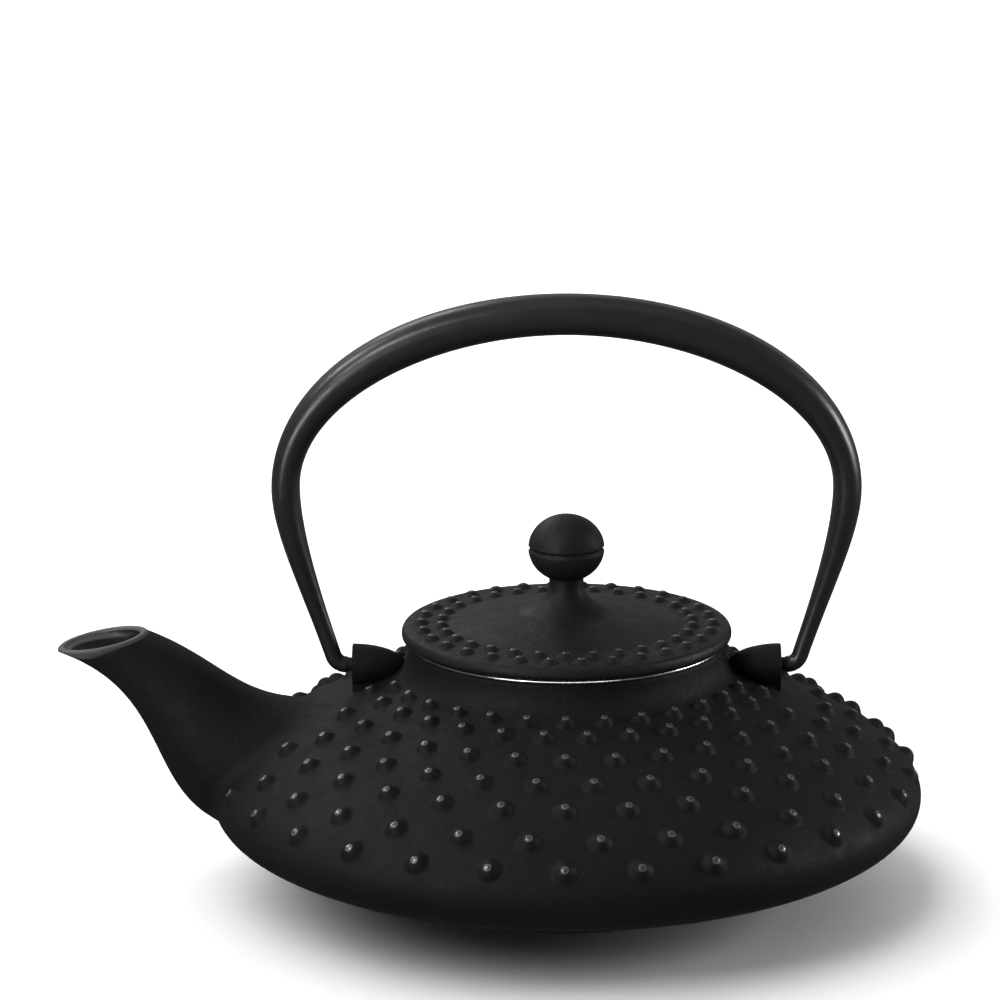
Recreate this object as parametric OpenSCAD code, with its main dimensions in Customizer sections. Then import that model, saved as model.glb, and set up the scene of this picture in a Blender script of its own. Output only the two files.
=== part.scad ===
/* [Vessel] */
// Diameter at the widest point
body_d = 176; // [168:1:184]
// Height of the widest point above the table
widest_z = 24; // [22:0.5:26]
// Height of the mouth rim above the table
mouth_z = 62; // [60:0.5:64]
// Bore of the mouth
mouth_d = 71.2; // [71:0.1:72]
// Outside of the mouth rim
mouth_rim_d = 78.4; // [77:0.2:79]
// Thickness of the cast wall
wall = 3.5; // [3:0.1:4.5]
// Outside of the foot ring
foot_d = 84; // [70:1:96]
// Width of the foot ring
foot_w = 4.6; // [4:0.2:6]

/* [Spout] */
// Distance from the middle of the pot to the lip's tip
spout_reach = 126; // [122:1:130]
// Height of the lip's tip
spout_z = 60; // [58:0.5:62]
// Length of the mouth of the spout
lip_len = 22.8; // [21:0.2:24]
// Width of the mouth of the spout
lip_w = 20; // [18:0.5:21]
// Width of the spout where it leaves the pot
root_w = 38; // [34:1:40]
// Tilt of the mouth of the spout, down towards its tip
lip_tilt = 10.7; // [8:0.1:13]
// Wall of the spout
spout_wall = 3; // [2.4:0.1:3.4]

/* [Handle] */
// Height of the hinge line
hinge_z = 56; // [55.5:0.1:56.5]
// Greatest distance between the two legs, middle to middle
handle_span = 137.8; // [134:0.2:142]
// Height of the handle's top, at the middle of the bar
handle_top = 144.4; // [140:0.2:149]
// Width of the grip across the pot
grip_w = 12.4; // [10:0.2:13]
// Thickness of the bar at the top of the arch
grip_t = 9.9; // [9:0.1:10.4]
// Thickness of the bar half way round the arch
turn_t = 9.5; // [8.6:0.1:10]
// Thickness of the bar at the sides of the arch
side_t = 7; // [6.4:0.1:7.4]
// Diameter of the hinge pins
pin_d = 3.5; // [3.2:0.1:3.8]
// Clearance of a pin in its hole, on the radius
pin_clear = 0.07; // [0.03:0.01:0.1]
// Distance from the middle of the pot to the outer face of a lug
lug_x = 53; // [52.6:0.1:53.4]
// Radius of a lug around its hole
lug_r = 5.2; // [4.8:0.1:5.4]

/* [Strainer] */
// Depth of the basket below the mouth rim
basket_depth = 32.6; // [30:0.2:36]
// Thickness of the steel sheet
sheet = 0.8; // [0.6:0.1:0.9]
// Thickness of the steel mesh
mesh_t = 0.7; // [0.5:0.1:0.7]
// Clearance between the basket and the mouth, on the radius
basket_clear = 0.5; // [0.4:0.05:0.6]

/* [Lid] */
// Diameter of the lid
lid_d = 81.5; // [80:0.5:83]
// Height of the lid's edge
lid_edge = 3.6; // [3.2:0.1:4]
// Rise of the lid from its edge to the pad under the knob
lid_rise = 3.4; // [3:0.1:3.8]
// Diameter of the knob
knob_d = 18.8; // [17:0.2:20]
// Height of the knob's ball
knob_h = 16.8; // [15:0.2:18]
// Height of the knob's neck
neck_h = 7.6; // [7.2:0.2:8.4]

/* [Hidden] */
$fn = 96;

// Vessel
body_r = body_d / 2;
belly_power = 2.3;
under_z = 4;
foot_r = foot_d / 2;
foot_recess = 2.5;
floor_t = 4.5;
flat_r = 20;
shoulder_w = 44.7;
collar_r = body_r - shoulder_w;
collar_z = mouth_z - 8;
mouth_r = mouth_d / 2;
rim_r = mouth_rim_d / 2;
rim_round = 0.8;

// Handle
pin_r = pin_d / 2;
hole_depth = 9;
pin_reach = 8.6;
arch_z = hinge_z + 45;
elbow_x = lug_x + 1.5;
elbow_r = 3.4;
leg_lean = 18;
leg_straight = 18;
leg_upright = 10.5;
leg_foot = [elbow_x + elbow_r * cos(leg_lean), hinge_z + elbow_r * (1 - sin(leg_lean))];

// Strainer
seat_z = mouth_z + sheet;
tube_r = mouth_r - basket_clear;
wire_r = tube_r - sheet;
basket_z = mouth_z - basket_depth;
rim_tube_h = 7;
ring_h = 5;
ring_lip = 5;

// Lid
lid_r = lid_d / 2;
seat_r = rim_r - 0.8;
spigot_r = wire_r - mesh_t - 0.6;
spigot_w = 3;
spigot_h = 4;
lid_top = seat_z + lid_edge;
pad_z = lid_top + lid_rise;
pad_r = 10.2;
band_w = 11.25;
band_rise = 0.35;
lid_t = 3.4;
under_pad_z = pad_z - lid_t;

// Knob and its fastening, an M4 screw with a plain washer
screw_r = 2;
screw_clear = 0.05;
thread_fit = 0.02;
thread_depth = 9;
washer_r = 5;
washer_t = 1;
head_r = 3.8;
head_h = 2.4;
neck_r = 4.25;
knob_foot_r = 10;
knob_foot_edge = 0.4;
groove_w = 0.7;
groove_depth = 0.5;
ball_r = knob_d / 2;
ball_z = pad_z + neck_h + knob_h / 2;

// Sweeps
ring_points = 32;
spout_steps = 18;
spout_start = -0.15;
elbow_steps = 5;
leg_steps = 12;
arch_steps = 16;
curve_steps = 16;
collar_steps = 6;
section_power = 2.4;

// A point on a cubic curve with four control points
function bezier(p, t) =
    pow(1 - t, 3) * p[0] + 3 * t * pow(1 - t, 2) * p[1]
    + 3 * pow(t, 2) * (1 - t) * p[2] + pow(t, 3) * p[3];

// Points along such a curve, without its last one
function curve(p, steps) = [for (i = [0:steps - 1]) bezier(p, i / steps)];
function back(list) = [for (i = [len(list) - 1:-1:0]) list[i]];
function signed_pow(v, e) = sign(v) * pow(abs(v), e);
function blend(a, b, t) = a + (b - a) * t;
function ease(t) = t * t * (3 - 2 * t);

// The belly from the widest point down to radius x, as [radius, height] pairs
function belly(r, d, x) =
    let (last = acos(pow(x / r, belly_power / 2)))
    [for (i = [0:curve_steps])
        let (a = last * i / curve_steps)
        [r * pow(cos(a), 2 / belly_power), widest_z - d * pow(sin(a), 2 / belly_power)]];

// The shoulder from the foot of the collar out to the widest point
shoulder = [
    [collar_r, collar_z],
    [blend(collar_r, body_r, 0.515), blend(collar_z, widest_z, 0.327)],
    [body_r, blend(widest_z, collar_z, 0.3)],
    [body_r, widest_z]
];
inner_shoulder = [
    shoulder[0] - wall * [0.4, 0.92],
    shoulder[1] - wall * [0.4, 0.92],
    shoulder[2] - wall * [1, 0.35],
    shoulder[3] - wall * [1, 0]
];
// The collar from the mouth rim down to the shoulder
collar = [
    [rim_r, mouth_z - rim_round],
    [rim_r, mouth_z - 4.5],
    [blend(rim_r, collar_r, 0.4), collar_z + 1.2],
    [collar_r, collar_z]
];

vessel_outline = concat(
    [[0, foot_recess], [foot_r - foot_w, foot_recess], [foot_r - foot_w + 0.6, 0], [foot_r - 0.8, 0]],
    [[foot_r, 1]],
    back(belly(body_r, widest_z - under_z, foot_r)),
    back(curve(shoulder, curve_steps)),
    back(curve(collar, collar_steps)),
    [[rim_r - rim_round, mouth_z], [0, mouth_z]]
);
cavity_outline = concat(
    [[0, foot_recess + floor_t]],
    back(belly(body_r - wall, widest_z - foot_recess - floor_t, flat_r)),
    back(curve(inner_shoulder, curve_steps)),
    [[mouth_r, collar_z - wall * 0.4], [mouth_r, mouth_z + 1], [0, mouth_z + 1]]
);

// The spout's upper and lower outlines, from inside the vessel to the lip
spout_top = [
    [-60, widest_z + 23],
    [-81, widest_z + 21],
    [-85, spout_z - 2.8],
    [-(spout_reach - lip_len * cos(lip_tilt)), spout_z + lip_len * sin(lip_tilt)]
];
spout_bottom = [
    [-80, widest_z - 10],
    [-107.2, widest_z - 3.6],
    [-95.3, spout_z - 11.5],
    [-spout_reach, spout_z]
];

// One section of the spout: an ellipse between its two outlines, less a wall
function spout_ring(t, less, shift) =
    let (
        up = bezier(spout_top, t),
        low = bezier(spout_bottom, t),
        mid = (up + low) / 2 + shift,
        half = (up - low) / 2,
        reach = half * (1 - less / norm(half)),
        side = blend(root_w, lip_w, ease(t)) / 2 - less
    )
    [for (k = [0:ring_points - 1])
        let (a = 360 * k / ring_points)
        [mid[0] + reach[0] * cos(a), side * sin(a), mid[1] + reach[1] * cos(a)]];

// Faces that join a row of rings, each with n points, and close both ends
function sweep_faces(rows, n) = concat(
    [for (i = [0:rows - 2]) for (k = [0:n - 1])
        [i * n + k, (i + 1) * n + (k + 1) % n, i * n + (k + 1) % n]],
    [for (i = [0:rows - 2]) for (k = [0:n - 1])
        [i * n + k, (i + 1) * n + k, (i + 1) * n + (k + 1) % n]],
    [[for (k = [0:n - 1]) k]],
    [[for (k = [n - 1:-1:0]) (rows - 1) * n + k]]
);

module sweep(rings) {
    points = [for (ring = rings) each ring];
    polyhedron(points = points, faces = sweep_faces(len(rings), len(rings[0])), convexity = 6);
}

module spout_outer() {
    sweep([for (i = [0:spout_steps]) spout_ring(blend(spout_start, 1, i / spout_steps), 0, [0, 0])]);
}

module spout_duct() {
    lip_out = 1.5 * [-sin(lip_tilt), cos(lip_tilt)];
    sweep(concat(
        [spout_ring(0, spout_wall, [9, -1])],
        [for (i = [0:spout_steps]) spout_ring(i / spout_steps, spout_wall, [0, 0])],
        [spout_ring(1, spout_wall, lip_out)]
    ));
}

// A lug is half a bullet that lies on the shoulder, with its flat face outwards
module lug() {
    length = lug_x - rim_r - 0.6;
    nose = [for (i = [0:8]) [lug_r * sin(90 * i / 8), length * cos(90 * i / 8)]];
    translate([lug_x, 0, hinge_z]) rotate([0, -90, 0]) rotate_extrude() polygon(concat([[0, 0]], nose));
    plan = concat(nose, [for (p = back(nose)) [-p[0], p[1]]]);
    translate([lug_x, 0, hinge_z - 8]) rotate([0, 0, 90]) linear_extrude(8) polygon(plan);
}

module vessel() {
    rotate_extrude($fn = 180) polygon(vessel_outline);
    spout_outer();
    lug();
    mirror([1, 0, 0]) lug();
}

module pin_hole() {
    translate([lug_x - hole_depth, 0, hinge_z]) rotate([0, 90, 0]) cylinder(r = pin_r + pin_clear, h = hole_depth + 2);
}

module body() {
    color("dimgray") difference() {
        vessel();
        rotate_extrude($fn = 180) polygon(cavity_outline);
        spout_duct();
        pin_hole();
        mirror([1, 0, 0]) pin_hole();
    }
}

// Half of the handle's centre line, from the pin at 0 to the top of the arch at 1
leg = [
    leg_foot,
    leg_foot + leg_straight * [sin(leg_lean), cos(leg_lean)],
    [handle_span / 2, arch_z - leg_upright],
    [handle_span / 2, arch_z]
];
half_line = concat(
    [for (i = [0:elbow_steps - 1]) let (a = (90 - leg_lean) * i / elbow_steps)
        [elbow_x + elbow_r * sin(a), hinge_z + elbow_r * (1 - cos(a))]],
    [for (i = [0:leg_steps - 1]) bezier(leg, i / leg_steps)],
    [for (i = [0:arch_steps]) let (a = 90 * i / arch_steps)
        [handle_span / 2 * cos(a), arch_z + (handle_top - arch_z) * sin(a)]]
);
half_count = len(half_line);
// Fullness of the bar along that line: 0 at the pin, 1 on the grip
fullness = concat(
    [for (i = [0:elbow_steps - 1]) 0],
    [for (i = [0:leg_steps - 1]) ease(i / leg_steps)],
    [for (i = [0:arch_steps]) 1]
);
// Thickness of the bar at an angle round the arch, through its side, its turn and its top
function arch_t(a) =
    let (rise = pow(sin(a), 2))
    side_t + (4 * turn_t - 3 * side_t - grip_t) * rise + 2 * (side_t + grip_t - 2 * turn_t) * pow(rise, 2);

thickness = concat(
    [for (i = [1:elbow_steps + leg_steps]) side_t],
    [for (i = [0:arch_steps]) arch_t(90 * i / arch_steps)]
);
bar_line = concat(half_line, [for (i = [half_count - 2:-1:0]) [-half_line[i][0], half_line[i][1]]]);
bar_full = concat(fullness, [for (i = [half_count - 2:-1:0]) fullness[i]]);
bar_t = concat(thickness, [for (i = [half_count - 2:-1:0]) thickness[i]]);
bar_count = len(bar_line);

function bar_ring(i) =
    let (
        step = bar_line[min(i + 1, bar_count - 1)] - bar_line[max(i - 1, 0)],
        along = step / norm(step),
        out = [along[1], -along[0]],
        half_t = blend(pin_r + 0.3, bar_t[i] / 2, bar_full[i]),
        half_w = blend(pin_r + 0.3, grip_w / 2, bar_full[i]),
        power = 2 / blend(2, section_power, bar_full[i])
    )
    [for (k = [0:ring_points - 1])
        let (
            a = 360 * k / ring_points,
            n = half_t * signed_pow(cos(a), power),
            y = half_w * signed_pow(sin(a), power)
        )
        [bar_line[i][0] + out[0] * n, y, bar_line[i][1] + out[1] * n]];

module pin() {
    translate([lug_x - pin_reach, 0, hinge_z]) rotate([0, 90, 0]) cylinder(r = pin_r, h = pin_reach + 2.5);
}

module handle() {
    color("black") {
        sweep([for (i = [0:bar_count - 1]) bar_ring(i)]);
        pin();
        mirror([1, 0, 0]) pin();
    }
}

module tube(outer, inner, low, high) {
    translate([0, 0, low]) difference() {
        cylinder(r = outer, h = high - low);
        translate([0, 0, -1]) cylinder(r = inner, h = high - low + 2);
    }
}

module strainer_rim() {
    color("silver") {
        tube(rim_r, wire_r, mouth_z, seat_z);
        tube(tube_r, wire_r, mouth_z - rim_tube_h, mouth_z);
    }
}

module strainer_wall() {
    color("gainsboro") tube(wire_r, wire_r - mesh_t, basket_z + sheet + mesh_t, mouth_z - 1);
}

module strainer_ring() {
    color("silver") {
        tube(tube_r, wire_r, basket_z + sheet, basket_z + ring_h);
        tube(tube_r, wire_r - ring_lip, basket_z, basket_z + sheet);
    }
}

module strainer_floor() {
    color("gainsboro") translate([0, 0, basket_z + sheet]) cylinder(r = wire_r, h = mesh_t);
}

// The lid's dome, from inside its bumps up to the pad under the knob
dome = [
    [lid_r - band_w, lid_top + band_rise],
    [lid_r - band_w - 1.5, lid_top + band_rise + 0.15],
    [pad_r + 9, pad_z - lid_rise * 0.22],
    [pad_r, pad_z]
];
lid_outline = concat([
    [0, under_pad_z],
    [pad_r, under_pad_z],
    [spigot_r - spigot_w, seat_z + 0.6],
    [spigot_r - spigot_w, seat_z - spigot_h],
    [spigot_r - 0.5, seat_z - spigot_h],
    [spigot_r, seat_z - spigot_h + 0.5],
    [spigot_r, seat_z],
    [seat_r, seat_z],
    [lid_r - 0.9, seat_z + 0.25],
    [lid_r, seat_z + 1],
    [lid_r, lid_top - 1.3],
    [lid_r - 0.6, lid_top - 0.25],
    [lid_r - 2.4, lid_top]],
    curve(dome, 8),
    [[pad_r, pad_z], [0, pad_z]]
);

module lid() {
    color("dimgray") difference() {
        rotate_extrude() polygon(lid_outline);
        cylinder(r = screw_r + screw_clear, h = pad_z + 1);
    }
}

// The knob from its foot up the neck and over the ball, with a groove at the ball's widest
neck = [
    [knob_foot_r, pad_z + knob_foot_edge],
    [neck_r + 2.75, pad_z + knob_foot_edge + 0.5],
    [neck_r + 0.35, pad_z + neck_h * 0.36],
    [neck_r, pad_z + neck_h * 0.84]
];
ball_low = -acos(neck_r / ball_r);
groove_a = asin(groove_w / knob_h * 2);
function ball_point(a) = [ball_r * cos(a), ball_z + knob_h / 2 * sin(a)];
knob_outline = concat(
    [[0, pad_z], [knob_foot_r, pad_z]],
    curve(neck, 10),
    [for (i = [0:10]) ball_point(blend(ball_low, -groove_a, i / 10))],
    [[ball_r - groove_depth, ball_z]],
    [for (i = [0:12]) ball_point(blend(groove_a, 90, i / 12))]
);

module knob() {
    color("black") difference() {
        rotate_extrude() polygon(knob_outline);
        translate([0, 0, pad_z - 1]) cylinder(r = screw_r + thread_fit, h = thread_depth + 1);
    }
}

module knob_washer() {
    color("silver") tube(washer_r, screw_r + screw_clear, under_pad_z - washer_t, under_pad_z);
}

module knob_screw() {
    color("silver") {
        translate([0, 0, under_pad_z - washer_t - head_h]) cylinder(r = head_r, h = head_h);
        translate([0, 0, under_pad_z - washer_t]) cylinder(r = screw_r, h = washer_t + lid_t + thread_depth - 1);
    }
}

body();
handle();
strainer_rim();
strainer_wall();
strainer_ring();
strainer_floor();
lid();
knob();
knob_washer();
knob_screw();
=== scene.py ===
"""Looks of the cast iron teapot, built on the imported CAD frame. Shapes are worked out in millimetres."""
import math

import bmesh
import bpy
import numpy as np
from mathutils import Matrix, Vector


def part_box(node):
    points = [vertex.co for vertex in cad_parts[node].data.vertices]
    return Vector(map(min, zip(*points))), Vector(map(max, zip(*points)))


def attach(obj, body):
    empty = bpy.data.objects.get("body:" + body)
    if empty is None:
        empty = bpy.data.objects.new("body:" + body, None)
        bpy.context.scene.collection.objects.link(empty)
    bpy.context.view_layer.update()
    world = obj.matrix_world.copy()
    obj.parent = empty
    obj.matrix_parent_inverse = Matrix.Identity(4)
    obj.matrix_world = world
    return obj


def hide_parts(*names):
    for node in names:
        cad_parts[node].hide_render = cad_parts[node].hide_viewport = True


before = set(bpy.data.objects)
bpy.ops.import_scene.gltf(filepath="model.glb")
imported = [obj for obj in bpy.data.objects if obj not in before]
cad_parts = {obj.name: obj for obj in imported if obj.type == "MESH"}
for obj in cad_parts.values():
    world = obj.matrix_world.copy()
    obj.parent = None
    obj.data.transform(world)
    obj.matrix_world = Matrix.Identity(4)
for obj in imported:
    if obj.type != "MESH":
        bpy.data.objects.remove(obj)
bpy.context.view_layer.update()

MM = 0.001


def extent(node):
    """Lowest and highest corner of a CAD node, in millimetres."""
    low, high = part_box(node)
    return np.array(low) / MM, np.array(high) / MM


BODY_LOW, BODY_HIGH = extent("body")
RIM_HIGH = extent("strainer_rim")[1]
WALL_LOW, WALL_HIGH = extent("strainer_wall")
RING_LOW, RING_HIGH = extent("strainer_ring")
FLOOR_LOW = extent("strainer_floor")[0]
LID_HIGH = extent("lid")[1]
KNOB_HIGH = extent("knob")[1]
WASHER_LOW, WASHER_HIGH = extent("knob_washer")
SCREW_LOW, SCREW_HIGH = extent("knob_screw")

# ---------------------------------------------------------------- curves


def bezier(points, t):
    p = np.array(points, float)
    t = np.atleast_1d(t)[:, None]
    return (1 - t) ** 3 * p[0] + 3 * t * (1 - t) ** 2 * p[1] + 3 * t ** 2 * (1 - t) * p[2] + t ** 3 * p[3]


def arc(centre, radius, start, end, steps):
    a = np.radians(np.linspace(start, end, steps))
    return np.stack([centre[0] + radius * np.cos(a), centre[1] + radius * np.sin(a)], 1)


def lengths(line):
    """Distance along a polyline at each of its points."""
    return np.concatenate([[0], np.cumsum(np.linalg.norm(np.diff(line, axis=0), axis=1))])


def resample(line, steps):
    """The polyline cut into that many equal steps."""
    line = np.array(line, float)
    s = lengths(line)
    at = np.linspace(0, s[-1], steps + 1)
    return np.stack([np.interp(at, s, line[:, k]) for k in range(line.shape[1])], 1)


def joined(*pieces):
    """Polylines end to end, with the shared points once."""
    out = np.array(pieces[0], float)
    for piece in pieces[1:]:
        piece = np.array(piece, float)
        if np.linalg.norm(out[-1] - piece[0]) < 1e-6:
            piece = piece[1:]
        out = np.concatenate([out, piece])
    return out


def rounded(corners, radius, steps=5):
    """An outline with its inner corners rounded. A corner may carry its own radius as a third number."""
    out = [np.array(corners[0][:2], float)]
    for before, corner, after in zip(corners, corners[1:], corners[2:]):
        p, a, b = (np.array(v[:2], float) for v in (corner, before, after))
        r = corner[2] if len(corner) > 2 else radius
        da, db = a - p, b - p
        la, lb = np.linalg.norm(da), np.linalg.norm(db)
        r = min(r, la * 0.48, lb * 0.48)
        start, end = p + da / la * r, p + db / lb * r
        for q in np.linspace(0, 1, steps):
            out.append((1 - q) ** 2 * start + 2 * q * (1 - q) * p + q * q * end)
    out.append(np.array(corners[-1][:2], float))
    return np.array(out)


def mix(a, b, t):
    return a + (b - a) * t


def ease(t):
    return t * t * (3 - 2 * t)


def wrap(angle):
    return (angle + math.pi) % (2 * math.pi) - math.pi


def outline_normals(line):
    """Unit normals of an outline, on the right as it runs."""
    t = np.gradient(line, axis=0)
    t /= np.linalg.norm(t, axis=1)[:, None]
    return np.stack([t[:, 1], -t[:, 0]], 1)


def turned(r, z, angle):
    """Points at an angle about Z. Angle 0 faces the viewer, and 90 degrees is +X."""
    return np.stack([r * np.sin(angle), -r * np.cos(angle), z + 0 * angle], 1)


# ---------------------------------------------------------------- meshes


class Shell:
    """Rings of points joined into one closed surface."""

    def __init__(self):
        self.points, self.faces, self.marks, self.count = [], [], [], 0

    def ring(self, points):
        points = np.asarray(points, float)
        self.points.append(points)
        self.count += len(points)
        return np.arange(self.count - len(points), self.count)

    def add(self, faces, mark=0):
        self.faces += faces
        self.marks += [mark] * len(faces)

    def band(self, a, b, mark=0, skip=()):
        """Quads between two rings with the same number of points."""
        quads = np.stack([a, np.roll(a, -1), np.roll(b, -1), b], 1).tolist()
        self.add([q for k, q in enumerate(quads) if k not in skip], mark)

    def halve(self, a, b, mark=0):
        """Joins a ring to one with half as many points."""
        for k in range(len(b)):
            a0, a1, a2 = a[2 * k], a[2 * k + 1], a[(2 * k + 2) % len(a)]
            b0, b1 = b[k], b[(k + 1) % len(b)]
            self.add([[int(i) for i in f] for f in ((a0, a1, b0), (a1, b1, b0), (a1, a2, b1))], mark)

    def stack(self, rings, mark=0):
        """Adds rings one after another and joins them."""
        ids = [self.ring(r) for r in rings]
        for a, b in zip(ids, ids[1:]):
            self.band(a, b, mark)
        return ids

    def close(self, ring, mark=0):
        """A fan over a ring."""
        points = np.concatenate(self.points)[ring]
        tip = int(self.ring([points.mean(0)])[0])
        self.add([[int(a), int(b), tip] for a, b in zip(ring, np.roll(ring, -1))], mark)

    def build(self, name, materials, finish=True):
        mesh = bpy.data.meshes.new(name)
        mesh.from_pydata((np.concatenate(self.points) * MM).tolist(), [], self.faces)
        mesh.polygons.foreach_set("material_index", self.marks)
        for m in materials:
            mesh.materials.append(m)
        tidy_mesh(mesh, finish)
        obj = bpy.data.objects.new(name, mesh)
        bpy.context.collection.objects.link(obj)
        return obj


def tidy_mesh(mesh, finish=True, sharp=50):
    """Faces outwards. When finished, they are smooth and the edges over the sharp angle stay crisp."""
    bm = bmesh.new()
    bm.from_mesh(mesh)
    bmesh.ops.recalc_face_normals(bm, faces=bm.faces)
    if finish:
        limit = math.radians(sharp)
        for face in bm.faces:
            face.smooth = True
        for edge in bm.edges:
            edge.smooth = len(edge.link_faces) != 2 or edge.calc_face_angle() < limit
    bm.to_mesh(mesh)
    bm.free()


def lathe(name, line, materials, columns=192, lift=None, mark=None, finish=True):
    """A turned piece. The outline runs from axis to axis, or closes on itself."""
    shell = Shell()
    line = np.array(line, float)
    a = np.arange(columns) * 2 * np.pi / columns
    solid = line[0][0] < 1e-6
    n = outline_normals(line)
    body, n = (line[1:-1], n[1:-1]) if solid else (line, n)
    ids = []
    for (r, z), (nr, nz) in zip(body, n):
        up = lift(r, z, a) if lift else 0 * a
        ids.append(shell.ring(turned(r + nr * up, z + nz * up, a)))
    for k, (p, q) in enumerate(zip(ids, ids[1:])):
        shell.band(p, q, mark(*body[k]) if mark else 0)
    if solid:
        shell.close(ids[0], mark(*body[0]) if mark else 0)
        shell.close(ids[-1], mark(*body[-1]) if mark else 0)
    else:
        shell.band(ids[-1], ids[0])
    return shell.build(name, materials, finish)


def combine(target, other, operation):
    """Joins, or cuts, other into target's mesh and removes other."""
    tool = target.modifiers.new("tool", "BOOLEAN")
    tool.operation = operation
    tool.solver = "MANIFOLD"
    tool.object = other
    shaped = target.evaluated_get(bpy.context.evaluated_depsgraph_get())
    mesh = bpy.data.meshes.new_from_object(shaped)
    target.modifiers.clear()
    target.data = mesh
    bpy.data.objects.remove(other)


# ---------------------------------------------------------------- materials


def noise(tree, coords, scale, detail=4.0, rough=0.55):
    node = tree.nodes.new("ShaderNodeTexNoise")
    node.inputs["Scale"].default_value = scale
    node.inputs["Detail"].default_value = detail
    node.inputs["Roughness"].default_value = rough
    tree.links.new(coords, node.inputs["Vector"])
    return node.outputs["Fac"]


def spread(tree, value, low, high, start=0.3, end=0.7):
    """Maps a noise value from its usual 0.3 to 0.7 onto low to high."""
    node = tree.nodes.new("ShaderNodeMapRange")
    for key, number in (("From Min", start), ("From Max", end), ("To Min", low), ("To Max", high)):
        node.inputs[key].default_value = number
    tree.links.new(value, node.inputs["Value"])
    return node.outputs["Result"]


def blend_colour(tree, factor, a, b):
    node = tree.nodes.new("ShaderNodeMix")
    node.data_type = "RGBA"
    tree.links.new(factor, node.inputs["Factor"])
    for socket, colour in ((node.inputs[6], a), (node.inputs[7], b)):
        if isinstance(colour, tuple):
            socket.default_value = (*colour, 1)
        else:
            tree.links.new(colour, socket)
    return node.outputs[2]


# Marked vertices get a paler, metallic, smoother finish: partly real wear, partly a painted highlight that
# makes the tips shine.
WEAR_AND_HIGHLIGHT_ATTRIBUTE = "wear_and_highlight"
BARE_METAL_AND_HIGHLIGHT_TONE = (0.2, 0.2, 0.205)
WEAR_AND_HIGHLIGHT_ROUGHNESS = 0.3


def surface(name, dark, light, rough, grain, metallic=0.0, level=0.5, wear_and_highlight=None):
    """A material whose colour, gloss and relief all vary.

    grain lists (scale per metre, height in metres). The last argument is the paler tone at marked vertices,
    partly bare metal and partly a painted highlight.
    """
    made = bpy.data.materials.new(name)
    made.use_nodes = True
    tree = made.node_tree
    shader = tree.nodes["Principled BSDF"]
    coords = tree.nodes.new("ShaderNodeTexCoord").outputs["Object"]
    tone = blend_colour(tree, spread(tree, noise(tree, coords, 38, 3), 0, 1), dark, light)
    paler = tuple(min(1, c * 1.6) for c in light)
    tone = blend_colour(tree, spread(tree, noise(tree, coords, 900, 4, 0.7), 0, 0.35), tone, paler)
    gloss = spread(tree, noise(tree, coords, 240, 4), *rough)
    shader.inputs["Specular IOR Level"].default_value = level
    if wear_and_highlight:
        # the marked vertices turn paler and metallic: partly bare metal, partly a painted highlight
        wear_and_highlight_node = tree.nodes.new("ShaderNodeAttribute")
        wear_and_highlight_node.attribute_name = WEAR_AND_HIGHLIGHT_ATTRIBUTE
        bare_and_highlight = spread(tree, wear_and_highlight_node.outputs["Fac"], 0, 1, 0.3, 1)
        tone = blend_colour(tree, bare_and_highlight, tone, wear_and_highlight)
        tree.links.new(bare_and_highlight, shader.inputs["Metallic"])
        smoother = tree.nodes.new("ShaderNodeMix")
        tree.links.new(wear_and_highlight_node.outputs["Fac"], smoother.inputs["Factor"])
        tree.links.new(gloss, smoother.inputs["A"])
        smoother.inputs["B"].default_value = WEAR_AND_HIGHLIGHT_ROUGHNESS
        gloss = smoother.outputs["Result"]
    tree.links.new(tone, shader.inputs["Base Color"])
    tree.links.new(gloss, shader.inputs["Roughness"])
    shader.inputs["Metallic"].default_value = metallic
    normal = None
    for scale, height in grain:
        bump = tree.nodes.new("ShaderNodeBump")
        bump.inputs["Distance"].default_value = height
        tree.links.new(noise(tree, coords, scale, 3), bump.inputs["Height"])
        if normal:
            tree.links.new(normal, bump.inputs["Normal"])
        normal = bump.outputs["Normal"]
    if normal:
        tree.links.new(normal, shader.inputs["Normal"])
    return made


IRON = surface("cast_iron", (0.0025, 0.0024, 0.0027), (0.0047, 0.0044, 0.0049), (0.6, 0.74),
               [(420, 0.00016), (1300, 0.0001)], level=0.22, wear_and_highlight=BARE_METAL_AND_HIGHLIGHT_TONE)
# A paler, glossier copy of the cast iron for the lid and knob; the paler tone is painted light, standing in
# for the brighter sheen of the lid's top.
LID_IRON = surface("cast_iron_lid", (0.005, 0.0047, 0.0049), (0.0088, 0.0083, 0.0085), (0.46, 0.6),
                   [(300, 0.0002), (1300, 0.0001)], level=0.23, wear_and_highlight=BARE_METAL_AND_HIGHLIGHT_TONE)
ENAMEL = surface("inner_enamel", (0.006, 0.006, 0.007), (0.01, 0.01, 0.011), (0.2, 0.3), [(160, 0.0001)])
SATIN = surface("satin_black", (0.0055, 0.0055, 0.006), (0.0085, 0.008, 0.0085), (0.3, 0.4),
                [(220, 0.00008), (1500, 0.00003)], level=0.8)
STEEL = surface("pressed_steel", (0.5, 0.5, 0.51), (0.66, 0.66, 0.66), (0.16, 0.3),
                [(700, 0.00002)], metallic=1.0)
WIRE = surface("steel_mesh", (0.42, 0.42, 0.43), (0.6, 0.6, 0.6), (0.25, 0.38),
               [(2500, 0.00001)], metallic=1.0)

# ---------------------------------------------------------------- vessel outline

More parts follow.
